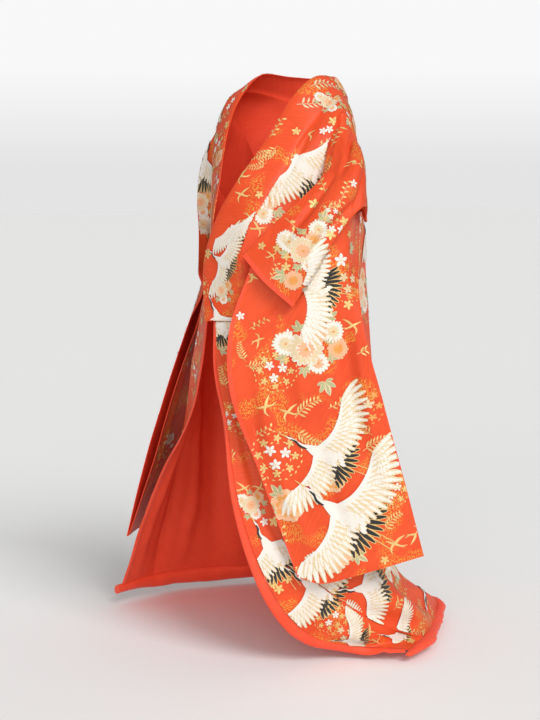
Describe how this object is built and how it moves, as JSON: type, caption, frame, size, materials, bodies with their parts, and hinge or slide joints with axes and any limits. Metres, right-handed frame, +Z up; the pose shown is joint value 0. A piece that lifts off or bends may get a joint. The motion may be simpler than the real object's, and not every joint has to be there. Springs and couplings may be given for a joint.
{
  "type": "uchikake wedding kimono",
  "caption": "Full-length trailing outer wedding kimono with hanging sleeves, long collar and padded hem, in its hollow worn form.",
  "frame": {"origin": "the point between the shoulders that carries the robe, about 45 mm above the back neck seam's base", "axes": "+Z up, the wearer faces -Y, the wearer's left is +X; the floor is at Z = -1.38 m"},
  "size_m": [0.985, 0.781, 1.4102],
  "materials": {
    "brocade": "satin",
    "lining": "satin",
    "padded_silk": "satin"
  },
  "bodies": {
    "root": {"body_left": "brocade", "body_right": "brocade", "overlap_left": "brocade", "overlap_right": "brocade", "collar": "brocade", "sleeve_left": "brocade", "sleeve_right": "brocade", "lining_left": "lining", "lining_right": "lining", "overlap_lining_left": "lining", "overlap_lining_right": "lining", "edge_roll_left": "padded_silk", "edge_roll_right": "padded_silk", "hem_roll": "padded_silk"}
  },
  "joints": []
}
